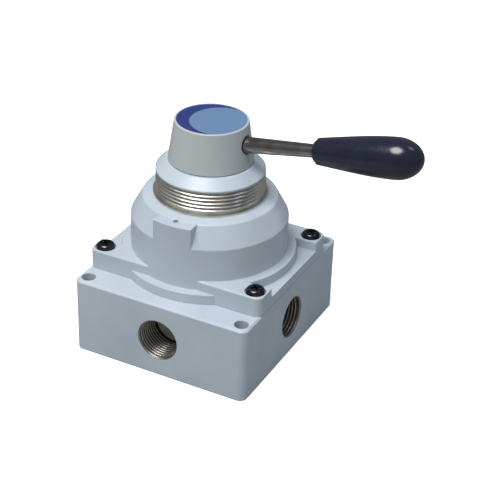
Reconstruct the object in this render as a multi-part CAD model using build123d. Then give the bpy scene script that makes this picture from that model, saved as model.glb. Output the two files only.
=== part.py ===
from build123d import *

import os
from math import cos, radians, sin, sqrt, tan

# Hand lever air valve: a 4-port, 3-position rotary disc valve with side ports, panel thread and grip lever.
# The valve stands on its mounting face at z = 0, with the spindle on the Z axis and the lever along +X
# in its middle position. All sizes are in millimetres.

# ---- valve body
BODY_WIDTH = 74.0  # along X
BODY_LENGTH = 80.0  # along Y
BODY_HEIGHT = 31.0
BODY_CORNER = 3.0  # vertical corners
EDGE_BREAK = 0.7  # soft edge of the castings
MOUNT_EDGE_X = 4.0  # mounting holes, in from the side faces
MOUNT_EDGE_Y = 4.5
MOUNT_HOLE_R = 2.75

# ---- side ports, G 3/8
PORT_R = 7.9  # pitch radius of the thread
PORT_DEPTH = 13.0
PORT_HEIGHT = 15.5
PORT_CHAMFER = 0.6
DRILL_POINT = 118.0  # included angle at the end of a drilled hole
PASSAGE_R = 4.5
PASSAGE_OVERRUN = 0.8  # past the far wall of the gallery it meets
GALLERY_RING = 12.0  # centre distance of the four galleries under the port plate
GALLERY_R = 3.5

# ---- bonnet
FLANGE_LENGTH = 57.6  # along Y; along X it is as wide as the body
FLANGE_LOW = 4.0  # height of the round skirt and of the side cut-outs
FLANGE_HIGH = 8.0  # height of the screw lugs
SKIRT_R = 34.0
SIDE_CUT = 39.0  # length of a side cut-out between two lugs
LUG_EDGE = 0.6
DOME_R = 30.5
DOME_WALL = 21.2  # height of the straight wall above the body
DOME_CONE = 8.2  # height of the cone above the wall
DOME_RING_R = 26.0  # where the cone turns into the shallow ring round the neck
DOME_RING_RISE = 1.0
DOME_TOP_R = 22.8
DOME_EDGE = 0.8
PAD_WIDTH = 16.0
INDEX_HOLE_R = 1.0
INDEX_HOLE_DEPTH = 5.0
INDEX_HOLE_AT = 26.4  # from the axis
CAVITY_R = 25.0
CAVITY_HEIGHT = 18.6
NECK_R = 18.0
NECK_HEIGHT = 9.6
NECK_BORE_CLEARANCE = 0.3
SCREW_EDGE_X = 4.5  # bonnet screws, in from the flange's sides
SCREW_EDGE_Y = 4.8
SCREW_SEAT_R = 4.0
SCREW_SEAT_DEPTH = 1.0

# ---- bonnet screws, M5 pan head
SCREW_R = 2.5
SCREW_LENGTH = 16.0
HEAD_R = 3.55
HEAD_HEIGHT = 2.6
HEAD_EDGE = 1.4
CROSS_WIDTH = 0.9
CROSS_SPAN = 3.8
CROSS_DEPTH = 1.4
SCREW_HOLE_CLEARANCE = 0.25
THREAD_CLEARANCE = 0.05
TAP_RUNOUT = 1.0  # a tapped hole goes this much deeper than its screw

# ---- panel thread sleeve, M42 x 1.5, and the collar above it
SLEEVE_R = 21.0
THREAD_PITCH = 1.5
THREAD_DEPTH = 0.8
THREAD_CREST = 0.3  # flat left on each crest
THREAD_TURNS = 5
SLEEVE_FLANGE_R = 22.0
SLEEVE_FLANGE = 0.8
COLLAR_HEIGHT = 4.2
COLLAR_TOP_R = 17.2
COLLAR_RIM = 0.6
COLLAR_SPIGOT_R = 13.0
COLLAR_SPIGOT = 3.0

# ---- port plate, its seals and dowels
PLATE_R = 22.0
PLATE_THICKNESS = 3.0
PLATE_RECESS = 2.0
SEAL_RING = 5.0  # centre line radius of a gallery seal
SEAL_SECTION = 0.8
DOWEL_RING = 18.5
DOWEL_R = 1.25
DOWEL_LENGTH = 4.0
DOWEL_IN_PLATE = 1.6
BODY_SEAL_RING = 28.3
BODY_SEAL_SECTION = 1.1

# ---- rotary disc
DISC_R = 20.6
DISC_THICKNESS = 5.5
DISC_SLOT_HALF_ANGLE = 50.0  # of the supply slot and of the exhaust pocket
DISC_SLOT_R = 3.7
DISC_POCKET_DEPTH = 3.0
TANG_SLOT_DEPTH = 2.6
DISC_LIFT = 0.02  # lapped running gap on the port plate

# ---- spindle and detent
SPINDLE_R = 7.0
SPINDLE_UNDER_HUB_TOP = 7.3
SPINDLE_CHAMFER = 0.5
FLAT_AT = 6.2
CARRIER_R = 20.5
CARRIER_THICKNESS = 6.5
THRUST_GAP = 0.1  # end play between carrier and thrust washer
TANG_WIDTH = 4.8
TANG_LENGTH = 23.0
TANG_CLEARANCE = 0.1
DETENT_RING_R = 21.3
DETENT_RING_HEIGHT = 8.6
RING_PIN_R = 1.0
RING_PIN_AT = 23.1
RING_PIN_LENGTH = 7.0
STOP_PIN_R = 1.5
STOP_RING = 18.0  # centre distance of the stop pin and of its slot
STOP_PIN_IN_BONNET = 4.4
STOP_SLOT_DEPTH = 2.2
STOP_OVERTRAVEL = 0.5  # degrees past each end position
LEVER_THROW = 45.0  # from the middle to each end position
BALL_R = 2.5
BALL_GAP = 0.1
BALL_TRAVEL = 0.7
NOTCH_R = 2.7
BALL_HOLE_START = 9.5
BALL_HOLE_CLEARANCE = 0.05
DETENT_SPRING_R = 1.75
DETENT_WIRE_R = 0.25
DETENT_PITCH = 1.0
DISC_SPRING_R = 16.5
DISC_WIRE_R = 0.6
DISC_SPRING_TURNS = 2
WASHER_R = 15.0
WASHER_THICKNESS = 1.0
ORING_SECTION = 1.0
ORING_ABOVE_CAVITY = 4.9
BUSH_R = 9.0
BUSH_LENGTH = 10.0
FIT = 0.02  # radial gap of a located fit
RUNNING = 0.05  # radial gap of a running fit

# ---- hub, lever and grip
HUB_GAP = 0.3  # between collar and hub
HUB_HEIGHT = 15.8
HUB_BOTTOM_R = 16.4
HUB_TOP_R = 14.1
HUB_EDGE = 0.45
LABEL_R = 13.3
LABEL_RECESS = 0.8
LABEL_THICKNESS = 0.6
HUB_WEB = 2.0  # clamped under the hub screw's head
HUB_SCREW_R = 2.5
HUB_SCREW_LENGTH = 12.0
HUB_SCREW_HEAD_R = 4.25
HUB_SCREW_HEAD = 3.4
HUB_SCREW_SOCKET = 4.0  # across flats
LEVER_TILT = 9.3
LEVER_FACE_R = 15.5  # where the lever's axis leaves the hub
LEVER_UNDER_HUB_TOP = 6.9  # there
ROD_R = 3.1
ROD_END_R = 2.5
ROD_FREE = 27.6  # from hub to grip
ROD_INNER_END = 7.6  # from the spindle axis
ROD_SEAT_R = 3.7  # spot face round the lever where it enters the hub
ROD_SEAT_DEPTH = 1.2
ROD_IN_GRIP = 20.0
ROD_TANG_R = 2.3
GRIP_LENGTH = 41.6
GRIP_NECK_R = 5.0
GRIP_BELLY_R = 7.65
GRIP_BELLY_AT = 31.5  # from the grip's near end
GRIP_SWELL = 0.11  # slope of the grip's side at its near end
ROUND = 0.5523  # handle length that makes a Bezier quarter match an ellipse
GRIP_LIP = 1.4
GRIP_LIP_R = 3.7

# ---- places that follow from the sizes above
MOUNT_X = BODY_WIDTH / 2 - MOUNT_EDGE_X
MOUNT_Y = BODY_LENGTH / 2 - MOUNT_EDGE_Y
SCREW_X = BODY_WIDTH / 2 - SCREW_EDGE_X
SCREW_Y = FLANGE_LENGTH / 2 - SCREW_EDGE_Y
FLANGE_Z = BODY_HEIGHT + FLANGE_HIGH
SKIRT_Z = BODY_HEIGHT + FLANGE_LOW
DOME_SHOULDER = BODY_HEIGHT + DOME_WALL
DOME_RING = DOME_SHOULDER + DOME_CONE
DOME_TOP = DOME_RING + DOME_RING_RISE
CAVITY_TOP = BODY_HEIGHT + CAVITY_HEIGHT
NECK_TOP = DOME_TOP + NECK_HEIGHT
PLATE_Z = BODY_HEIGHT - PLATE_RECESS
DISC_Z = PLATE_Z + PLATE_THICKNESS + DISC_LIFT
DISC_TOP = DISC_Z + DISC_THICKNESS
CARRIER_TOP = CAVITY_TOP - WASHER_THICKNESS - THRUST_GAP
CARRIER_BOTTOM = CARRIER_TOP - CARRIER_THICKNESS
DETENT_RING_BOTTOM = CAVITY_TOP - DETENT_RING_HEIGHT
STOP_PIN_TOP = CAVITY_TOP + STOP_PIN_IN_BONNET
ORING_HEIGHT = CAVITY_TOP + ORING_ABOVE_CAVITY
COLLAR_TOP = NECK_TOP + COLLAR_HEIGHT
BUSH_TOP = NECK_TOP - COLLAR_SPIGOT
BUSH_BOTTOM = BUSH_TOP - BUSH_LENGTH
HUB_BOTTOM = COLLAR_TOP + HUB_GAP
HUB_TOP = HUB_BOTTOM + HUB_HEIGHT
SPINDLE_TOP = HUB_TOP - SPINDLE_UNDER_HUB_TOP
LEVER_HEIGHT = HUB_TOP - LEVER_UNDER_HUB_TOP
HUB_SEAT = SPINDLE_TOP + HUB_WEB
BALL_REST = DETENT_RING_R - BALL_GAP - BALL_R
DETENT_Z = (CARRIER_BOTTOM + CARRIER_TOP) / 2
UP = (Align.CENTER, Align.CENTER, Align.MIN)


def post(radius, bottom, top, x=0.0, y=0.0):
    """A round solid from bottom to top."""
    return Pos(x, y, bottom) * Cylinder(radius, top - bottom, align=UP)


def tube(inner, outer, bottom, top):
    """A ring from bottom to top."""
    return post(outer, bottom, top) - post(inner, bottom - 1, top + 1)


def cone(low_r, high_r, bottom, top):
    """A cone frustum from bottom to top."""
    return Pos(0, 0, bottom) * Cone(low_r, high_r, top - bottom, align=UP)


def slab(width, length, bottom, top, corner):
    """A rectangular block with round vertical corners."""
    outline = RectangleRounded(width, length, corner)
    return Pos(0, 0, bottom) * extrude(outline, top - bottom)


def o_ring(ring_r, section, z, x=0.0, y=0.0):
    """A seal ring lying flat, with its centre line at height z."""
    return Pos(x, y, z) * Torus(ring_r, section)


def corners(x, y):
    """The four mirrored places of a rectangular pattern."""
    return [(sx * x, sy * y) for sx in (-1, 1) for sy in (-1, 1)]


def ring_places(ring_r, count, start=0.0):
    """Evenly spaced places on a circle."""
    angles = [radians(start + 360 * i / count) for i in range(count)]
    return [(ring_r * cos(a), ring_r * sin(a)) for a in angles]


def arc_slot(ring_r, centre_deg, half_deg, half_width, bottom, top):
    """A kidney slot along part of a circle, round at both ends."""
    band = tube(ring_r - half_width, ring_r + half_width, bottom, top)
    reach = 2 * (ring_r + half_width)
    edge = [(0, 0)]
    edge += [
        (reach * cos(radians(centre_deg + k * half_deg)), reach * sin(radians(centre_deg + k * half_deg)))
        for k in (-1, 0, 1)
    ]
    wedge = Pos(0, 0, bottom) * extrude(make_face(Polyline(*edge, close=True)), top - bottom)
    slot = band & wedge
    for side in (-1, 1):
        end = radians(centre_deg + side * half_deg)
        slot += post(half_width, bottom, top, ring_r * cos(end), ring_r * sin(end))
    return slot


def port_cut(angle, face):
    """A threaded port's bore with its chamfer and passage, cut inwards from a side face."""
    bore = Pos(0, 0, -PORT_DEPTH) * Cylinder(PORT_R, PORT_DEPTH + 1, align=UP)
    mouth = Pos(0, 0, -PORT_CHAMFER) * Cone(PORT_R, PORT_R + 2 * PORT_CHAMFER, 2 * PORT_CHAMFER, align=UP)
    point = (PORT_R - PASSAGE_R) / tan(radians(DRILL_POINT / 2))
    tip = Pos(0, 0, -PORT_DEPTH - point) * Cone(PASSAGE_R, PORT_R, point, align=UP)
    run = face - GALLERY_RING + GALLERY_R + PASSAGE_OVERRUN
    passage = Pos(0, 0, -run) * Cylinder(PASSAGE_R, run, align=UP)
    cut = Pos(face, 0, PORT_HEIGHT) * Rot(0, 90, 0) * (bore + mouth + tip + passage)
    return Rot(0, 0, angle) * cut


def valve_body():
    """The cast block: four side ports that turn up to the port plate's seat."""
    body = slab(BODY_WIDTH, BODY_LENGTH, 0, BODY_HEIGHT, BODY_CORNER)
    body = chamfer(body.faces().sort_by(Axis.Z)[-1].edges(), EDGE_BREAK)
    for angle, face in ((0, BODY_WIDTH), (90, BODY_LENGTH), (180, BODY_WIDTH), (270, BODY_LENGTH)):
        body -= port_cut(angle, face / 2)
    for x, y in ring_places(GALLERY_RING, 4):
        body -= post(GALLERY_R, PORT_HEIGHT, BODY_HEIGHT, x, y)
        groove_half = SEAL_SECTION + FIT
        groove_floor = PLATE_Z - 2 * SEAL_SECTION
        seal_groove = tube(SEAL_RING - groove_half, SEAL_RING + groove_half, groove_floor, PLATE_Z)
        body -= Pos(x, y, 0) * seal_groove
    body -= post(PLATE_R + FIT, PLATE_Z, BODY_HEIGHT + 1)
    for x, y in ring_places(DOWEL_RING, 2, 45):
        body -= post(DOWEL_R + FIT, PLATE_Z - DOWEL_LENGTH + DOWEL_IN_PLATE, PLATE_Z, x, y)
    body -= tube(
        BODY_SEAL_RING - BODY_SEAL_SECTION - FIT,
        BODY_SEAL_RING + BODY_SEAL_SECTION + FIT,
        BODY_HEIGHT - 2 * BODY_SEAL_SECTION,
        BODY_HEIGHT + 1,
    )
    for x, y in corners(MOUNT_X, MOUNT_Y):
        body -= post(MOUNT_HOLE_R, -1, BODY_HEIGHT + 1, x, y)
    reach = FLANGE_Z - SCREW_SEAT_DEPTH - SCREW_LENGTH - TAP_RUNOUT
    for x, y in corners(SCREW_X, SCREW_Y):
        body -= post(SCREW_R, reach, BODY_HEIGHT + 1, x, y)
    return body


def bonnet():
    """The cast cover: screw lugs, round skirt, dome with its index pad, and the neck."""
    low = slab(BODY_WIDTH, FLANGE_LENGTH, BODY_HEIGHT, SKIRT_Z, BODY_CORNER)
    low += post(SKIRT_R, BODY_HEIGHT, SKIRT_Z)
    lugs = slab(BODY_WIDTH, FLANGE_LENGTH, SKIRT_Z, FLANGE_Z, BODY_CORNER)
    side = Pos(0, 0, SKIRT_Z) * Box(BODY_WIDTH + 2, SIDE_CUT, FLANGE_HIGH, align=UP)
    lugs -= side - post(SKIRT_R, SKIRT_Z, FLANGE_Z + 1)
    lugs = fillet(lugs.edges().group_by(Axis.Z)[-1], LUG_EDGE)
    dome = post(DOME_R, BODY_HEIGHT, DOME_SHOULDER)
    dome += cone(DOME_R, DOME_RING_R, DOME_SHOULDER, DOME_RING)
    dome += cone(DOME_RING_R, DOME_TOP_R, DOME_RING, DOME_TOP)
    bends = [e for e in dome.edges().filter_by(GeomType.CIRCLE) if DOME_SHOULDER <= e.center().Z <= DOME_RING]
    dome = fillet(bends, DOME_EDGE)
    pad = post(DOME_R, DOME_SHOULDER, DOME_RING)
    pad &= Pos(0, -DOME_R, DOME_SHOULDER) * Box(PAD_WIDTH, DOME_R * 2, DOME_TOP, align=UP)
    cover = low + lugs + dome + pad + post(NECK_R, DOME_TOP, NECK_TOP)
    cover -= post(CAVITY_R, BODY_HEIGHT - 1, CAVITY_TOP)
    cover -= post(SPINDLE_R + NECK_BORE_CLEARANCE, CAVITY_TOP - 1, NECK_TOP + 1)
    cover -= post(BUSH_R, BUSH_BOTTOM, NECK_TOP + 1)
    cover -= post(COLLAR_SPIGOT_R, BUSH_TOP, NECK_TOP + 1)
    cover -= post(INDEX_HOLE_R, DOME_RING - INDEX_HOLE_DEPTH, DOME_RING + 1, 0, -INDEX_HOLE_AT)
    cover -= post(STOP_PIN_R + FIT, CAVITY_TOP - 1, STOP_PIN_TOP, STOP_RING, 0)
    for x, y in ring_places(RING_PIN_AT, 2):
        cover -= post(RING_PIN_R + FIT, CAVITY_TOP - 1, CAVITY_TOP + RING_PIN_LENGTH / 2, x, y)
    for x, y in corners(SCREW_X, SCREW_Y):
        cover -= post(SCREW_R + SCREW_HOLE_CLEARANCE, BODY_HEIGHT - 1, FLANGE_Z + 1, x, y)
        cover -= post(SCREW_SEAT_R, FLANGE_Z - SCREW_SEAT_DEPTH, FLANGE_Z + 1, x, y)
    return cover


def bonnet_screws():
    """Four pan-head cross-recess screws that hold the bonnet on the body."""
    seat = FLANGE_Z - SCREW_SEAT_DEPTH
    head = post(HEAD_R, seat, seat + HEAD_HEIGHT)
    head = fillet(head.edges().group_by(Axis.Z)[-1], HEAD_EDGE)
    shank = post(SCREW_R - THREAD_CLEARANCE, seat - SCREW_LENGTH, seat)
    screw = head + shank
    for turn in (45, 135):
        cross = Box(CROSS_SPAN, CROSS_WIDTH, CROSS_DEPTH, align=UP)
        screw -= Pos(0, 0, seat + HEAD_HEIGHT - CROSS_DEPTH) * Rot(0, 0, turn) * cross
    return Compound(children=[Pos(x, y, 0) * screw for x, y in corners(SCREW_X, SCREW_Y)])


def port_plate():
    """The lapped plate with four ports that the disc turns on."""
    plate = post(PLATE_R, PLATE_Z, PLATE_Z + PLATE_THICKNESS)
    for x, y in ring_places(GALLERY_RING, 4):
        plate -= post(GALLERY_R, PLATE_Z - 1, DISC_TOP, x, y)
    for x, y in ring_places(DOWEL_RING, 2, 45):
        plate -= post(DOWEL_R + FIT, PLATE_Z - 1, PLATE_Z + DOWEL_IN_PLATE, x, y)
    return plate


def port_seals():
    """One seal ring round each gallery, under the port plate."""
    z = PLATE_Z - SEAL_SECTION
    seals = [o_ring(SEAL_RING, SEAL_SECTION, z, x, y) for x, y in ring_places(GALLERY_RING, 4)]
    return Compound(children=seals)


def plate_dowels():
    """Two dowels that keep the port plate from turning."""
    top = PLATE_Z + DOWEL_IN_PLATE
    dowels = [post(DOWEL_R, top - DOWEL_LENGTH, top, x, y) for x, y in ring_places(DOWEL_RING, 2, 45)]
    return Compound(children=dowels)


def body_seal():
    """The large seal between body and bonnet."""
    return o_ring(BODY_SEAL_RING, BODY_SEAL_SECTION, BODY_HEIGHT - BODY_SEAL_SECTION)


def detent_ring():
    """The hardened ring with a notch for each ball in each lever position."""
    ring = tube(DETENT_RING_R, CAVITY_R - FIT, DETENT_RING_BOTTOM, CAVITY_TOP)
    notch_at = BALL_REST + BALL_TRAVEL + RUNNING
    for side in (90, 270):
        for step in (-1, 0, 1):
            a = radians(side + step * LEVER_THROW)
            x, y = notch_at * cos(a), notch_at * sin(a)
            ring -= post(NOTCH_R, DETENT_RING_BOTTOM - 1, CAVITY_TOP + 1, x, y)
    for x, y in ring_places(RING_PIN_AT, 2):
        ring -= post(RING_PIN_R + FIT, CAVITY_TOP - RING_PIN_LENGTH / 2 - FIT, CAVITY_TOP + 1, x, y)
    return ring


def detent_ring_pins():
    """Two pins that keep the detent ring from turning in the bonnet."""
    low = CAVITY_TOP - RING_PIN_LENGTH / 2
    pins = [post(RING_PIN_R, low, low + RING_PIN_LENGTH, x, y) for x, y in ring_places(RING_PIN_AT, 2)]
    return Compound(children=pins)


def stop_pin():
    """The pin that ends the lever's swing in both directions."""
    return post(STOP_PIN_R, CARRIER_TOP - STOP_SLOT_DEPTH + RUNNING, STOP_PIN_TOP, STOP_RING, 0)


def thrust_washer():
    """The plastic washer between spindle and bonnet."""
    return tube(SPINDLE_R + NECK_BORE_CLEARANCE, WASHER_R, CAVITY_TOP - WASHER_THICKNESS, CAVITY_TOP)


def spindle_bush():
    """The plain bearing in the neck."""
    return tube(SPINDLE_R + RUNNING, BUSH_R - FIT, BUSH_BOTTOM, BUSH_TOP)


def panel_thread_sleeve():
    """The bare metal sleeve round the neck that takes the panel nut."""
    sleeve = post(SLEEVE_R, DOME_TOP, NECK_TOP) + post(SLEEVE_FLANGE_R, DOME_TOP, DOME_TOP + SLEEVE_FLANGE)
    sleeve -= post(NECK_R + FIT, DOME_TOP - 1, NECK_TOP + 1)
    root = (THREAD_PITCH - THREAD_CREST) / 2
    for turn in range(THREAD_TURNS):
        z = NECK_TOP - THREAD_CREST - root - turn * THREAD_PITCH
        vee = Polyline((SLEEVE_R - THREAD_DEPTH, z), (SLEEVE_R, z + root), (SLEEVE_R, z - root), close=True)
        sleeve -= revolve(Plane.XZ * make_face(vee), Axis.Z)
    return sleeve


def neck_collar():
    """The painted collar that closes the neck and holds the bush and the sleeve down."""
    collar = post(SLEEVE_R, NECK_TOP, NECK_TOP + COLLAR_RIM)
    collar += cone(SLEEVE_R, COLLAR_TOP_R, NECK_TOP + COLLAR_RIM, COLLAR_TOP)
    collar += post(COLLAR_SPIGOT_R - FIT, BUSH_TOP, NECK_TOP)
    return collar - post(SPINDLE_R + NECK_BORE_CLEARANCE, BUSH_TOP - 1, COLLAR_TOP + 1)


def rotary_disc():
    """The lapped disc: a supply slot through it, an exhaust pocket under it and a slot for the tang."""
    disc = post(DISC_R, DISC_Z, DISC_TOP)
    disc -= arc_slot(GALLERY_RING, 90, DISC_SLOT_HALF_ANGLE, DISC_SLOT_R, DISC_Z - 1, DISC_TOP + 1)
    pocket_top = DISC_Z + DISC_POCKET_DEPTH
    disc -= arc_slot(GALLERY_RING, 270, DISC_SLOT_HALF_ANGLE, DISC_SLOT_R, DISC_Z - 1, pocket_top)
    slot = Box(TANG_LENGTH + 2 * TANG_CLEARANCE, TANG_WIDTH + 2 * TANG_CLEARANCE, DISC_THICKNESS, align=UP)
    return disc - Pos(0, 0, DISC_TOP - TANG_SLOT_DEPTH) * slot


def disc_spring():
    """The spring that holds the disc on the port plate."""
    rise = CARRIER_BOTTOM - DISC_TOP - 2 * DISC_WIRE_R - 2 * FIT
    path = Helix(rise / DISC_SPRING_TURNS, rise, DISC_SPRING_R)
    wire = sweep(Plane(path @ 0, z_dir=path % 0) * Circle(DISC_WIRE_R), path)
    return Pos(0, 0, DISC_TOP + DISC_WIRE_R + FIT) * wire


def spindle():
    """The shaft with its detent carrier, stop slot and the tang that drives the disc."""
    shaft = post(CARRIER_R, CARRIER_BOTTOM, CARRIER_TOP) + post(SPINDLE_R, CARRIER_TOP, SPINDLE_TOP)
    shaft = chamfer(shaft.edges().group_by(Axis.Z)[-1], SPINDLE_CHAMFER)
    shaft -= arc_slot(STOP_RING, 0, LEVER_THROW + STOP_OVERTRAVEL, STOP_PIN_R + RUNNING,
                      CARRIER_TOP - STOP_SLOT_DEPTH, CARRIER_TOP + 1)
    tang_bottom = DISC_TOP - TANG_SLOT_DEPTH + TANG_CLEARANCE
    shaft += Pos(0, 0, tang_bottom) * Box(TANG_LENGTH, TANG_WIDTH, CARRIER_BOTTOM - tang_bottom, align=UP)
    shaft -= tube(SPINDLE_R - 2 * ORING_SECTION + NECK_BORE_CLEARANCE, SPINDLE_R + 1,
                  ORING_HEIGHT - ORING_SECTION - FIT, ORING_HEIGHT + ORING_SECTION + FIT)
    beyond_flat = Box(SPINDLE_R, 2 * SPINDLE_R, HUB_TOP, align=(Align.MIN, Align.CENTER, Align.MIN))
    shaft -= Pos(FLAT_AT, 0, HUB_BOTTOM) * beyond_flat
    hole = HUB_SEAT - HUB_SCREW_LENGTH - TAP_RUNOUT
    shaft -= post(HUB_SCREW_R, hole, SPINDLE_TOP + 1)
    for turn in (0, 180):
        bore = Rot(0, 90, 0) * Cylinder(BALL_R + BALL_HOLE_CLEARANCE, CARRIER_R, align=UP)
        shaft -= Rot(0, 0, 90 + turn) * Pos(BALL_HOLE_START, 0, DETENT_Z) * bore
    return shaft


def spindle_oring():
    """The shaft seal, in the spindle's groove."""
    ring_r = SPINDLE_R - ORING_SECTION + NECK_BORE_CLEARANCE - RUNNING / 2
    return o_ring(ring_r, ORING_SECTION - RUNNING / 2, ORING_HEIGHT)


def detent_ball(turn):
    """One detent ball, riding just inside the ring."""
    return Rot(0, 0, turn) * Pos(BALL_REST, 0, DETENT_Z) * Sphere(BALL_R)


def detent_spring(turn):
    """The spring behind one detent ball."""
    start = BALL_HOLE_START + DETENT_WIRE_R + FIT
    reach = BALL_R + DETENT_WIRE_R + FIT
    length = BALL_REST - sqrt(reach**2 - DETENT_SPRING_R**2) - start
    path = Helix(DETENT_PITCH, length, DETENT_SPRING_R)
    wire = sweep(Plane(path @ 0, z_dir=path % 0) * Circle(DETENT_WIRE_R), path)
    return Rot(0, 0, turn) * Pos(start, 0, DETENT_Z) * Rot(0, 90, 0) * wire


def lever_frame():
    """The plane whose Z runs out along the lever, from where its axis leaves the hub."""
    return Pos(LEVER_FACE_R, 0, LEVER_HEIGHT) * Rot(0, 90 - LEVER_TILT, 0)


def lever_hub():
    """The conical knob that turns the spindle and carries the lever."""
    hub = cone(HUB_BOTTOM_R, HUB_TOP_R, HUB_BOTTOM, HUB_TOP)
    hub = fillet(hub.edges().group_by(Axis.Z)[-1], HUB_EDGE)
    bore = post(SPINDLE_R + FIT, HUB_BOTTOM - 1, SPINDLE_TOP)
    bore -= Pos(FLAT_AT + FIT, 0, HUB_BOTTOM - 1) * Box(
        SPINDLE_R, 2 * SPINDLE_R + 1, HUB_TOP, align=(Align.MIN, Align.CENTER, Align.MIN)
    )
    hub -= bore
    hub -= post(HUB_SCREW_R + SCREW_HOLE_CLEARANCE, SPINDLE_TOP - 1, HUB_TOP)
    hub -= post(HUB_SCREW_HEAD_R + SCREW_HOLE_CLEARANCE, HUB_SEAT, HUB_TOP)
    hub -= post(LABEL_R + FIT, HUB_TOP - LABEL_RECESS, HUB_TOP + 1)
    depth = LEVER_FACE_R - ROD_INNER_END
    hub -= lever_frame() * Pos(0, 0, -depth) * Cylinder(ROD_R + FIT, 2 * depth, align=UP)
    return hub - lever_frame() * Pos(0, 0, -ROD_SEAT_DEPTH) * Cylinder(ROD_SEAT_R, depth, align=UP)


def hub_screw():
    """The socket screw that clamps the hub on the spindle."""
    screw = post(HUB_SCREW_HEAD_R, HUB_SEAT, HUB_SEAT + HUB_SCREW_HEAD)
    screw += post(HUB_SCREW_R - THREAD_CLEARANCE, HUB_SEAT - HUB_SCREW_LENGTH, HUB_SEAT)
    socket = extrude(RegularPolygon(HUB_SCREW_SOCKET / 2, 6, major_radius=False), HUB_SCREW_HEAD)
    return screw - Pos(0, 0, HUB_SEAT + HUB_SCREW_HEAD / 2) * socket


def label_disc():
    """The thin name-plate disc in the top of the hub."""
    bottom = HUB_TOP - LABEL_RECESS
    return post(LABEL_R, bottom, bottom + LABEL_THICKNESS)


def lever_rod():
    """The tapered steel lever, threaded into hub and grip."""
    depth = LEVER_FACE_R - ROD_INNER_END
    rod = Pos(0, 0, -depth) * Cylinder(ROD_R, depth, align=UP)
    rod += Cone(ROD_R, ROD_END_R, ROD_FREE, align=UP)
    rod += Pos(0, 0, ROD_FREE) * Cylinder(ROD_TANG_R, ROD_IN_GRIP, align=UP)
    return lever_frame() * rod


def grip():
    """The moulded grip: a slim neck that swells to a belly and ends in a half ellipse."""
    nose = (GRIP_LENGTH - GRIP_BELLY_AT) * ROUND
    third = (GRIP_BELLY_AT - GRIP_LIP) / 3
    lip = Line((GRIP_LIP_R, 0), (GRIP_NECK_R, GRIP_LIP))
    side = Bezier(
        (GRIP_NECK_R, GRIP_LIP),
        (GRIP_NECK_R + GRIP_SWELL * third, GRIP_LIP + third),
        (GRIP_BELLY_R, GRIP_BELLY_AT - third),
        (GRIP_BELLY_R, GRIP_BELLY_AT),
    )
    end = Bezier(
        (GRIP_BELLY_R, GRIP_BELLY_AT),
        (GRIP_BELLY_R, GRIP_BELLY_AT + nose),
        (GRIP_BELLY_R * ROUND, GRIP_LENGTH),
        (0, GRIP_LENGTH),
    )
    closing = Polyline((0, GRIP_LENGTH), (0, 0), (GRIP_LIP_R, 0))
    profile = make_face(lip + side + end + closing)
    handle = revolve(Plane.XZ * profile, Axis.Z)
    handle -= Cylinder(ROD_TANG_R + FIT, ROD_IN_GRIP + 1, align=UP)
    return lever_frame() * Pos(0, 0, ROD_FREE) * handle


PARTS = {
    "valve_body": valve_body,
    "bonnet": bonnet,
    "bonnet_screws": bonnet_screws,
    "port_plate": port_plate,
    "port_seals": port_seals,
    "plate_dowels": plate_dowels,
    "body_seal": body_seal,
    "detent_ring": detent_ring,
    "detent_ring_pins": detent_ring_pins,
    "stop_pin": stop_pin,
    "thrust_washer": thrust_washer,
    "spindle_bush": spindle_bush,
    "panel_thread_sleeve": panel_thread_sleeve,
    "neck_collar": neck_collar,
    "rotary_disc": rotary_disc,
    "disc_spring": disc_spring,
    "spindle": spindle,
    "spindle_oring": spindle_oring,
    "detent_ball_back": lambda: detent_ball(90),
    "detent_ball_front": lambda: detent_ball(270),
    "detent_spring_back": lambda: detent_spring(90),
    "detent_spring_front": lambda: detent_spring(270),
    "lever_hub": lever_hub,
    "hub_screw": hub_screw,
    "label_disc": label_disc,
    "lever_rod": lever_rod,
    "grip": grip,
}

os.makedirs("parts", exist_ok=True)
for name, build in PARTS.items():
    export_step(build(), f"parts/{name}.step")
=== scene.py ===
# %% [markdown]
# # Hand lever air valve
# A rotary disc valve sends compressed air from one port to either of two others. This notebook dresses
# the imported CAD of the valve: each cell says what one piece or finish is on the real object, how it could
# be made, and why it is made this way here. The CAD meshes stay as they are, and every finish is procedural.

from math import cos, pi, radians, sin

import bpy
from mathutils import Matrix, Vector


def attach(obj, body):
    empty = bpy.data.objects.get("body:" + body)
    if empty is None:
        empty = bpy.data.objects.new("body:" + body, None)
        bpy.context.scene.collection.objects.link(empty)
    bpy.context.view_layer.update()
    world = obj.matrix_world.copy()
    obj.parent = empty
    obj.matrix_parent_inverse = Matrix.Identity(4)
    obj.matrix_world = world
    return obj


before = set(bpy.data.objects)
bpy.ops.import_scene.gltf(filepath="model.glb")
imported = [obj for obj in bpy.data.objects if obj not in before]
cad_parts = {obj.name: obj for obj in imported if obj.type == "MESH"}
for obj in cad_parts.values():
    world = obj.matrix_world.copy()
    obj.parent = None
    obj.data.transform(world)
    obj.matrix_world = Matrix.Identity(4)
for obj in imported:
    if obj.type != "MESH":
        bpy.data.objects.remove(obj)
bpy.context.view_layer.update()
MM = 0.001


# %% [markdown]
# ## Small helpers
# Paint and plastic colours are usually quoted as sRGB hex, while a renderer works in linear light, so one
# function converts them. A second one adds a shader node with its settings and links in a single call,
# which keeps each material below down to a few readable lines.

# %% Colour and node helpers
def srgb(hex_colour):
    """A linear, opaque RGBA colour from an sRGB hex string."""
    channels = [int(hex_colour[i : i + 2], 16) / 255 for i in (1, 3, 5)]
    linear = [c / 12.92 if c <= 0.04045 else ((c + 0.055) / 1.055) ** 2.4 for c in channels]
    return (*linear, 1.0)


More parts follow.
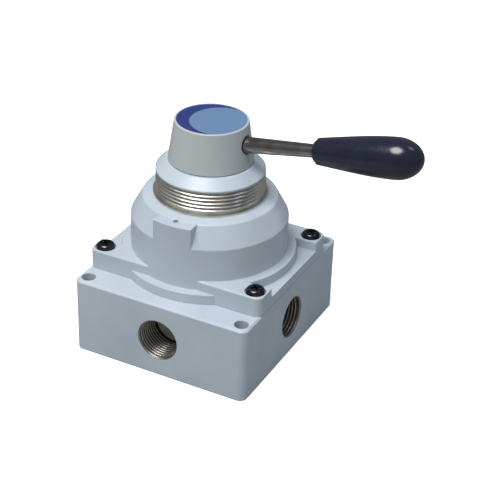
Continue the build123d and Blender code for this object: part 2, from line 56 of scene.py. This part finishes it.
def add(tree, kind, settings=None, **inputs):
    """A node of that kind: settings are its attributes, inputs are values or sockets to link from."""
    made = tree.nodes.new(kind)
    for key, value in (settings or {}).items():
        setattr(made, key, value)
    for key, value in inputs.items():
        name = key.replace("_", " ")
        socket = made.inputs[int(key[1:])] if key[1:].isdigit() else made.inputs[name]
        if isinstance(value, bpy.types.NodeSocket):
            tree.links.new(value, socket)
        else:
            socket.default_value = value
    return made


def new_material(name, colour, roughness, metallic=0.0, **more):
    """A material with one Principled shader, ready for texture nodes."""
    mat = bpy.data.materials.new(name)
    mat.use_nodes = True
    tree = mat.node_tree
    shader = tree.nodes["Principled BSDF"]
    shader.inputs["Base Color"].default_value = srgb(colour)
    shader.inputs["Roughness"].default_value = roughness
    shader.inputs["Metallic"].default_value = metallic
    for key, value in more.items():
        shader.inputs[key.replace("_", " ")].default_value = value
    place = add(tree, "ShaderNodeTexCoord").outputs["Object"]
    return mat, tree, shader, place


def grain(tree, place, size_mm, detail=3.0, stretch=(1, 1, 1)):
    """Noise whose features are about size_mm across, in object space."""
    mapped = add(tree, "ShaderNodeMapping", Vector=place, Scale=stretch).outputs["Vector"]
    noise = add(tree, "ShaderNodeTexNoise", Vector=mapped, Scale=1 / (size_mm * MM), Detail=detail)
    return noise.outputs["Fac"]


def spread(tree, value, low, high):
    """A noise value stretched from its usual 0.3 to 0.7 onto low to high."""
    ranged = add(tree, "ShaderNodeMapRange", Value=value, From_Min=0.3, From_Max=0.7, To_Min=low, To_Max=high)
    return ranged.outputs["Result"]


def bump(tree, shader, height, depth_mm, normal=None):
    """Relief of that depth on the shader's normal."""
    made = add(tree, "ShaderNodeBump", Height=height, Distance=depth_mm * MM)
    if normal is not None:
        tree.links.new(normal, made.inputs["Normal"])
    tree.links.new(made.outputs["Normal"], shader.inputs["Normal"])


def tint(tree, shader, factor, dark, light):
    """Mixes two colours by a factor and feeds them to the shader."""
    mixed = add(tree, "ShaderNodeMix", {"data_type": "RGBA"}, i0=factor, i6=srgb(dark), i7=srgb(light))
    tree.links.new(mixed.outputs[2], shader.inputs["Base Color"])


def soft_edges(tree, radius_mm):
    """A normal that rounds off sharp edges, as paint and tumbling do."""
    return add(tree, "ShaderNodeBevel", {"samples": 8}, Radius=radius_mm * MM).outputs["Normal"]


print("helpers ready")

# %% [markdown]
# ## Painted castings
# The body, the bonnet and the collar are pressure die castings in aluminium. They are shot-blasted and then
# sprayed in one go with a satin grey-blue enamel. Real paint is never quite even: it has a fine orange peel
# about a third of a millimetre across and drifts slightly in shade. The paint also pulls back from sharp
# edges, so they look rounded, which a bevelled normal gives without touching the CAD mesh. The ports are
# bored after painting, so inside them a mask made from the bores' own sizes swaps the paint for bare metal.

# %% Satin enamel on die cast aluminium
CASTING_DARK, CASTING_LIGHT = "#AEB9C2", "#B7C2CA"
CASTING_EDGE = 0.5
HUB_DARK, HUB_LIGHT = "#A8AFB0", "#B0B6B5"
HUB_EDGE = 0.25
CUT_METAL = "#9A948A"


def enamel(name, dark, light, edge_mm):
    mat, tree, shader, place = new_material(name, light, 0.42, IOR=1.5)
    shader.inputs["Coat Weight"].default_value = 0.15
    shader.inputs["Coat Roughness"].default_value = 0.25
    drift = grain(tree, place, 22.0, 2.0)
    tint(tree, shader, spread(tree, drift, 0.0, 1.0), dark, light)
    peel = grain(tree, place, 0.34, 2.0)
    tree.links.new(spread(tree, grain(tree, place, 6.0), 0.36, 0.48), shader.inputs["Roughness"])
    bump(tree, shader, peel, 0.012, soft_edges(tree, edge_mm))
    return mat


BODY_FACES = {"X": 37.0, "Y": 40.0}
PORT_HEIGHT = 15.5
MACHINED_R = 8.55
SKIN = 0.03


def within(tree, value, limit_mm):
    """1 where a length is below the limit, else 0."""
    return add(tree, "ShaderNodeMath", {"operation": "LESS_THAN"}, i0=value, i1=limit_mm * MM).outputs[0]


def in_ports(tree, place):
    """1 inside the bores that are cut in after painting, 0 on the painted skin."""
    port_level = (0, 0, PORT_HEIGHT * MM)
    centred = add(tree, "ShaderNodeVectorMath", {"operation": "SUBTRACT"}, i0=place, i1=port_level)
    split = add(tree, "ShaderNodeSeparateXYZ", Vector=centred.outputs["Vector"])
    inside = None
    for axis, face_at in BODY_FACES.items():
        other = "Y" if axis == "X" else "X"
        flat = add(tree, "ShaderNodeCombineXYZ", X=split.outputs[other], Y=split.outputs["Z"])
        across = flat.outputs["Vector"]
        away = add(tree, "ShaderNodeVectorMath", {"operation": "LENGTH"}, i0=across).outputs["Value"]
        depth = add(tree, "ShaderNodeMath", {"operation": "ABSOLUTE"}, i0=split.outputs[axis]).outputs[0]
        near, deep = within(tree, away, MACHINED_R), within(tree, depth, face_at - SKIN)
        here = add(tree, "ShaderNodeMath", {"operation": "MULTIPLY"}, i0=near, i1=deep).outputs[0]
        if inside is None:
            inside = here
        else:
            inside = add(tree, "ShaderNodeMath", {"operation": "MAXIMUM"}, i0=inside, i1=here).outputs[0]
    return inside


def bored_casting():
    """The castings' enamel, with bare cut metal inside the ports."""
    name = "Satin enamel on die cast aluminium, ports bored bare"
    mat = enamel(name, CASTING_DARK, CASTING_LIGHT, CASTING_EDGE)
    tree = mat.node_tree
    shader = tree.nodes["Principled BSDF"]
    place = add(tree, "ShaderNodeTexCoord").outputs["Object"]
    bare = in_ports(tree, place)
    paint = shader.inputs["Base Color"].links[0].from_socket
    mixed = add(tree, "ShaderNodeMix", {"data_type": "RGBA"}, i0=bare, i6=paint, i7=srgb(CUT_METAL))
    tree.links.new(mixed.outputs[2], shader.inputs["Base Color"])
    tree.links.new(bare, shader.inputs["Metallic"])
    return mat


sprayed = "Satin enamel, sprayed on die cast aluminium"
casting_paint = enamel(sprayed, CASTING_DARK, CASTING_LIGHT, CASTING_EDGE)
body_paint = bored_casting()
hub_paint = enamel("Satin enamel, sprayed on the zinc hub", HUB_DARK, HUB_LIGHT, HUB_EDGE)
print("paints:", casting_paint.name, "and", hub_paint.name)

# %% [markdown]
# ## Bare machined metal
# The neck thread and the inner steel parts are cut on a lathe or ground. A lathe leaves rings round the axis
# a few hundredths of a millimetre apart, which spread the highlight along the axis. Stretching a noise
# flat in Z and fine in height draws such rings on anything that turns about the spindle.

# %% Turned, ground, lapped and drawn metals
def machined(name, dark, light, roughness, ring_mm=None, grain_mm=0.4, relief_mm=0.004):
    mat, tree, shader, place = new_material(name, light, roughness, 1.0)
    stretch = (0.02, 0.02, 1.0) if ring_mm else (1, 1, 1)
    lines = grain(tree, place, ring_mm or grain_mm, 2.0, stretch)
    cloud = grain(tree, place, 5.0, 2.0)
    tint(tree, shader, spread(tree, cloud, 0.0, 1.0), dark, light)
    tree.links.new(spread(tree, lines, roughness * 0.8, roughness * 1.25), shader.inputs["Roughness"])
    bump(tree, shader, lines, relief_mm)
    return mat


thread_metal = machined("Bare aluminium, turned thread", "#C2BEB4", "#DAD8D0", 0.34, ring_mm=0.12)
ground_steel = machined("Hardened steel, ground", "#9EA1A4", "#B7B9BB", 0.24, ring_mm=0.08)
lapped_steel = machined("Stainless steel, lapped", "#B5B6B5", "#C3C4C2", 0.15, grain_mm=0.2, relief_mm=0.001)
spring_steel = machined("Spring wire, hard drawn", "#83868C", "#9A9DA2", 0.32)
ball_steel = machined("Bearing steel, polished ball", "#C2C3C6", "#CFD0D2", 0.08, relief_mm=0.0005)
bronze = machined("Sintered bronze, sized", "#9A7746", "#B08B57", 0.38, grain_mm=0.15, relief_mm=0.01)
print("metals: thread, ground, lapped, spring, ball, bronze")


# %% [markdown]
# ## Lever rod
# The lever is a bright drawn steel rod, polished and then nickel plated. It mirrors the room in long soft
# streaks. Drawing marks run along it, so this noise is stretched along the rod, which leans up by about nine
# degrees from the X axis.

# %% Polished and plated rod
ROD_LEAN = 9.3


def polished_rod():
    mat, tree, shader, place = new_material("Nickel plated steel rod, polished", "#8F8B87", 0.14, 1.0)
    lean = (0, radians(ROD_LEAN), 0)
    leaned = add(tree, "ShaderNodeMapping", Vector=place, Rotation=lean).outputs["Vector"]
    lines = grain(tree, leaned, 0.25, 2.0, (0.03, 1, 1))
    smudge = grain(tree, place, 4.0, 2.0)
    tint(tree, shader, spread(tree, smudge, 0, 1), "#86827E", "#9A9692")
    tree.links.new(spread(tree, lines, 0.09, 0.2), shader.inputs["Roughness"])
    bump(tree, shader, lines, 0.003)
    return mat


rod_metal = polished_rod()
print("rod:", rod_metal.name)


# %% [markdown]
# ## Grip
# The grip is injection moulded in a hard thermoset, navy that is nearly black, and comes out of a polished
# mould glossy. Handling leaves very fine haze, so the roughness drifts a little over a few millimetres.

# %% Glossy moulded grip
def grip_plastic():
    mat, tree, shader, place = new_material("Phenolic grip, moulded glossy navy", "#171A2A", 0.2, IOR=1.55)
    tint(tree, shader, spread(tree, grain(tree, place, 9.0), 0, 1), "#14172A", "#1B1E30")
    haze = grain(tree, place, 1.2, 3.0)
    tree.links.new(spread(tree, haze, 0.17, 0.25), shader.inputs["Roughness"])
    bump(tree, shader, grain(tree, place, 2.5, 1.0), 0.004, soft_edges(tree, 0.3))
    return mat


grip_navy = grip_plastic()
print("grip:", grip_navy.name)


# %% [markdown]
# ## Label disc
# The top of the hub carries a thin disc of screen printed film, mid blue with a dark blue crescent round
# one side. A crescent is what is left of a circle outside a second, shifted circle, so the distance from
# the shifted centre decides where the second ink goes. No words or marks are printed.

# %% Two-ink printed film
CRESCENT_SHIFT = (3.9, 0.4)
CRESCENT_R = 12.0
INK_BLUR = 0.05
MID_BLUE, DARK_BLUE = "#5D7A9B", "#213070"


def printed_film():
    name = "Polyester film, screen printed in two blues"
    mat, tree, shader, place = new_material(name, MID_BLUE, 0.35, IOR=1.5)
    flattened = add(tree, "ShaderNodeVectorMath", {"operation": "MULTIPLY"}, i0=place, i1=(1, 1, 0))
    flat = flattened.outputs["Vector"]
    middle = (CRESCENT_SHIFT[0] * MM, CRESCENT_SHIFT[1] * MM, 0)
    away = add(tree, "ShaderNodeVectorMath", {"operation": "DISTANCE"}, i0=flat, i1=middle).outputs["Value"]
    inner, outer = (CRESCENT_R - INK_BLUR) * MM, (CRESCENT_R + INK_BLUR) * MM
    ink = add(tree, "ShaderNodeMapRange", Value=away, From_Min=inner, From_Max=outer).outputs["Result"]
    tint(tree, shader, ink, MID_BLUE, DARK_BLUE)
    bump(tree, shader, grain(tree, place, 0.6, 2.0), 0.004)
    return mat


label_film = printed_film()
print("label:", label_film.name)


# %% [markdown]
# ## Screws, seals and bearings
# The cover screws are blackened in an oxide bath, which leaves a dark satin skin that still glints like
# metal. The seals are moulded nitrile rubber, and the thrust washer is moulded acetal.

# %% Black oxide, rubber and acetal
black_oxide = machined("Alloy steel screw, black oxide", "#333337", "#55555A", 0.24, grain_mm=0.3)


def moulded(name, dark, light, roughness, grain_mm):
    mat, tree, shader, place = new_material(name, light, roughness, IOR=1.5)
    tint(tree, shader, spread(tree, grain(tree, place, 3.0), 0, 1), dark, light)
    bump(tree, shader, grain(tree, place, grain_mm, 2.0), 0.006)
    return mat


rubber = moulded("Nitrile rubber, moulded", "#101011", "#1B1B1C", 0.62, 0.25)
acetal = moulded("Acetal, moulded", "#D9D6CB", "#E4E1D8", 0.4, 0.4)
print("small parts:", black_oxide.name, rubber.name, acetal.name)

# %% [markdown]
# ## Give each CAD node its finish
# The CAD nodes already ride their bodies, so all they need is a material. One table keeps the choice in
# sight: what carries load is steel, what seals is rubber, and what the hand or eye meets is painted.

# %% Materials for every node
FINISHES = {
    body_paint: ["valve_body"],
    casting_paint: ["bonnet", "neck_collar"],
    hub_paint: ["lever_hub"],
    thread_metal: ["panel_thread_sleeve"],
    ground_steel: ["spindle", "detent_ring", "detent_ring_pins", "stop_pin", "plate_dowels"],
    lapped_steel: ["port_plate", "rotary_disc"],
    spring_steel: ["disc_spring", "detent_spring_back", "detent_spring_front"],
    ball_steel: ["detent_ball_back", "detent_ball_front"],
    bronze: ["spindle_bush"],
    rod_metal: ["lever_rod"],
    grip_navy: ["grip"],
    label_film: ["label_disc"],
    black_oxide: ["bonnet_screws", "hub_screw"],
    rubber: ["port_seals", "body_seal", "spindle_oring"],
    acetal: ["thrust_washer"],
}
for finish, nodes in FINISHES.items():
    for node in nodes:
        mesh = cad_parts[node].data
        mesh.materials.clear()
        mesh.materials.append(finish)
dressed = sum(len(nodes) for nodes in FINISHES.values())
print("nodes with a finish:", dressed)

# %% [markdown]
# ## Port threads
# Each side port is tapped with a parallel pipe thread, three eighths of an inch, nineteen threads to the
# inch. A tap leaves one helical ridge. Here a Geometry Nodes tree lays a spiral curve down the bore and
# sweeps a small triangle along it, and the same tree makes all four ports from its own named inputs.

# %% Thread ridges by Geometry Nodes
THREAD_PITCH = 25.4 / 19
WALL_R = 7.9
CREST_R = 7.475
FIRST_TURN = 1.2
THREADED_DEPTH = 11.0
STEPS_PER_TURN = 48


def thread_tree():
    """Sweeps a triangle along a spiral: the ridge of an inside thread."""
    tree = bpy.data.node_groups.new("Inside thread", "GeometryNodeTree")
    face = tree.interface
    face.new_socket("Geometry", in_out="INPUT", socket_type="NodeSocketGeometry")
    for name in ("Wall radius", "Crest radius", "Pitch", "Length"):
        face.new_socket(name, in_out="INPUT", socket_type="NodeSocketFloat")
    face.new_socket("Finish", in_out="INPUT", socket_type="NodeSocketMaterial")
    face.new_socket("Geometry", in_out="OUTPUT", socket_type="NodeSocketGeometry")
    given = add(tree, "NodeGroupInput").outputs
    length, pitch = given["Length"], given["Pitch"]
    turns = add(tree, "ShaderNodeMath", {"operation": "DIVIDE"}, i0=length, i1=pitch).outputs[0]
    helix = add(
        tree,
        "GeometryNodeCurveSpiral",
        Resolution=STEPS_PER_TURN,
        Rotations=turns,
        Start_Radius=given["Wall radius"],
        End_Radius=given["Wall radius"],
        Height=length,
    ).outputs[0]
    upright = add(tree, "GeometryNodeSetCurveNormal", {}, Curve=helix)
    upright.mode = "Z_UP"
    wall, crest = given["Wall radius"], given["Crest radius"]
    ridge = add(tree, "ShaderNodeMath", {"operation": "SUBTRACT"}, i0=wall, i1=crest).outputs[0]
    triangle = add(tree, "GeometryNodeCurvePrimitiveCircle", Resolution=3, Radius=ridge).outputs[0]
    swept = add(
        tree, "GeometryNodeCurveToMesh", Curve=upright.outputs[0], Profile_Curve=triangle, Fill_Caps=True
    ).outputs[0]
    real = add(tree, "GeometryNodeRealizeInstances", Geometry=swept).outputs[0]
    done = add(tree, "GeometryNodeSetMaterial", Geometry=real, Material=given["Finish"]).outputs[0]
    out = add(tree, "NodeGroupOutput")
    tree.links.new(done, out.inputs[0])
    return tree


def from_tree(name, tree, values):
    """A plain mesh object made by evaluating a Geometry Nodes tree once."""
    holder = bpy.data.objects.new(name, bpy.data.meshes.new(name))
    bpy.context.collection.objects.link(holder)
    modifier = holder.modifiers.new("Shape", "NODES")
    modifier.node_group = tree
    for item in tree.interface.items_tree:
        if item.item_type == "SOCKET" and item.in_out == "INPUT" and item.name in values:
            modifier[item.identifier] = values[item.name]
    graph = bpy.context.evaluated_depsgraph_get()
    mesh = bpy.data.meshes.new_from_object(holder.evaluated_get(graph))
    holder.modifiers.remove(modifier)
    holder.data = mesh
    return holder


inside_thread = thread_tree()
thread_values = {
    "Wall radius": WALL_R * MM,
    "Crest radius": CREST_R * MM,
    "Pitch": THREAD_PITCH * MM,
    "Length": THREADED_DEPTH * MM,
    "Finish": thread_metal,
}
PORTS = {
    "right": (0, BODY_FACES["X"]),
    "back": (90, BODY_FACES["Y"]),
    "left": (180, BODY_FACES["X"]),
    "front": (270, BODY_FACES["Y"]),
}
for side, (angle, face_at) in PORTS.items():
    ridge = from_tree("port_thread_" + side, inside_thread, thread_values)
    start = Matrix.Translation((face_at * MM - FIRST_TURN * MM, 0, PORT_HEIGHT * MM))
    inward = start @ Matrix.Rotation(-pi / 2, 4, "Y")
    ridge.data.transform(Matrix.Rotation(radians(angle), 4, "Z") @ inward)
    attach(ridge, "housing")
    print(ridge.name, len(ridge.data.polygons), "faces")

# %% [markdown]
# ## Studio
# The valve stands on a plain pale floor. One large soft light hangs above and a little in front, and a small
# cool one like a window shines from behind on the right. The world is white to the camera and softer to
# everything else. The floor does the same: it glows a little towards the camera and is mid grey to bounced
# light, so the background stays clean white while the sides of the valve keep their shade.

# %% Floor, world and lights
FLOOR_SIZE = 30.0
FLOOR_DROP = 0.2
FLOOR_GLOW = 0.55
SKY_TO_PAINT, SKY_TO_MIRRORS = 0.5, 0.24


def floor_paint():
    mat, tree, shader, _ = new_material("Studio floor, matt white paint", "#FDFDFD", 0.9)
    seen = add(tree, "ShaderNodeLightPath").outputs["Is Camera Ray"]
    tint(tree, shader, seen, "#8A8D90", "#FDFDFD")
    glow = add(tree, "ShaderNodeMath", {"operation": "MULTIPLY"}, i0=seen, i1=FLOOR_GLOW).outputs[0]
    shader.inputs["Emission Color"].default_value = (1, 1, 1, 1)
    tree.links.new(glow, shader.inputs["Emission Strength"])
    return mat


bpy.ops.mesh.primitive_plane_add(size=FLOOR_SIZE, location=(0, 0, -FLOOR_DROP * MM))
floor = bpy.context.object
floor.name = "studio_floor"
floor.data.materials.append(floor_paint())

world = bpy.data.worlds.new("Studio")
bpy.context.scene.world = world
world.use_nodes = True
sky = world.node_tree
sky.nodes.clear()
ray = add(sky, "ShaderNodeLightPath").outputs["Is Camera Ray"]
mirrored = add(sky, "ShaderNodeLightPath").outputs["Is Glossy Ray"]
dimmed = add(
    sky, "ShaderNodeMapRange", Value=mirrored, To_Min=SKY_TO_PAINT, To_Max=SKY_TO_MIRRORS
).outputs["Result"]
soft = add(sky, "ShaderNodeBackground", Color=srgb("#F2F6FA"), Strength=dimmed).outputs[0]
white = add(sky, "ShaderNodeBackground", Color=(1, 1, 1, 1), Strength=1.0).outputs[0]
both = add(sky, "ShaderNodeMixShader", i0=ray, i1=soft, i2=white).outputs[0]
add(sky, "ShaderNodeOutputWorld", Surface=both)


def area_light(name, place, aim, size, watts, colour="#FFFFFF"):
    data = bpy.data.lights.new(name, "AREA")
    data.shape = "DISK"
    data.size = size
    data.energy = watts
    data.color = srgb(colour)[:3]
    lamp = bpy.data.objects.new(name, data)
    lamp.location = place
    lamp.rotation_euler = (Vector(aim) - Vector(place)).to_track_quat("-Z", "Y").to_euler()
    bpy.context.collection.objects.link(lamp)


area_light("key_light", (-0.06, -0.27, 0.7), (0, 0, 0.05), 0.42, 5.0)
area_light("window_light", (0.35, 0.25, 0.75), (0.05, 0, 0.08), 0.2, 0.5, "#C8D8FF")

# %% [markdown]
# ## Camera
# A product picture is taken from a little above, off to one side, with a long lens so that upright edges
# stay nearly parallel. The camera is placed by the direction it looks from and its distance, and it leans
# by two degrees.

# %% Camera
AZIMUTH, ELEVATION, LEAN = radians(26.325), radians(30.486), radians(2.072)
TARGET = Vector((25.335, -15.247, 50.0)) * MM
DISTANCE = 517.119 * MM
SENSOR_WIDTH, FOCAL_LENGTH = 36.0, 100.318
back = Vector((sin(AZIMUTH) * cos(ELEVATION), -cos(AZIMUTH) * cos(ELEVATION), sin(ELEVATION)))
right = Vector((0, 0, 1)).cross(back).normalized()
up = back.cross(right)
leaned_right = cos(LEAN) * right + sin(LEAN) * up
leaned_up = -sin(LEAN) * right + cos(LEAN) * up
turn = Matrix((leaned_right, leaned_up, back)).transposed().to_4x4()
lens = bpy.data.cameras.new("product_camera")
lens.sensor_width = SENSOR_WIDTH
lens.lens = FOCAL_LENGTH
lens.clip_start = 0.01
camera = bpy.data.objects.new("product_camera", lens)
camera.matrix_world = Matrix.Translation(TARGET + back * DISTANCE) @ turn
bpy.context.collection.objects.link(camera)
bpy.context.scene.camera = camera
bpy.context.scene.view_settings.view_transform = "Standard"
print("camera at", [round(c, 3) for c in camera.matrix_world.translation])
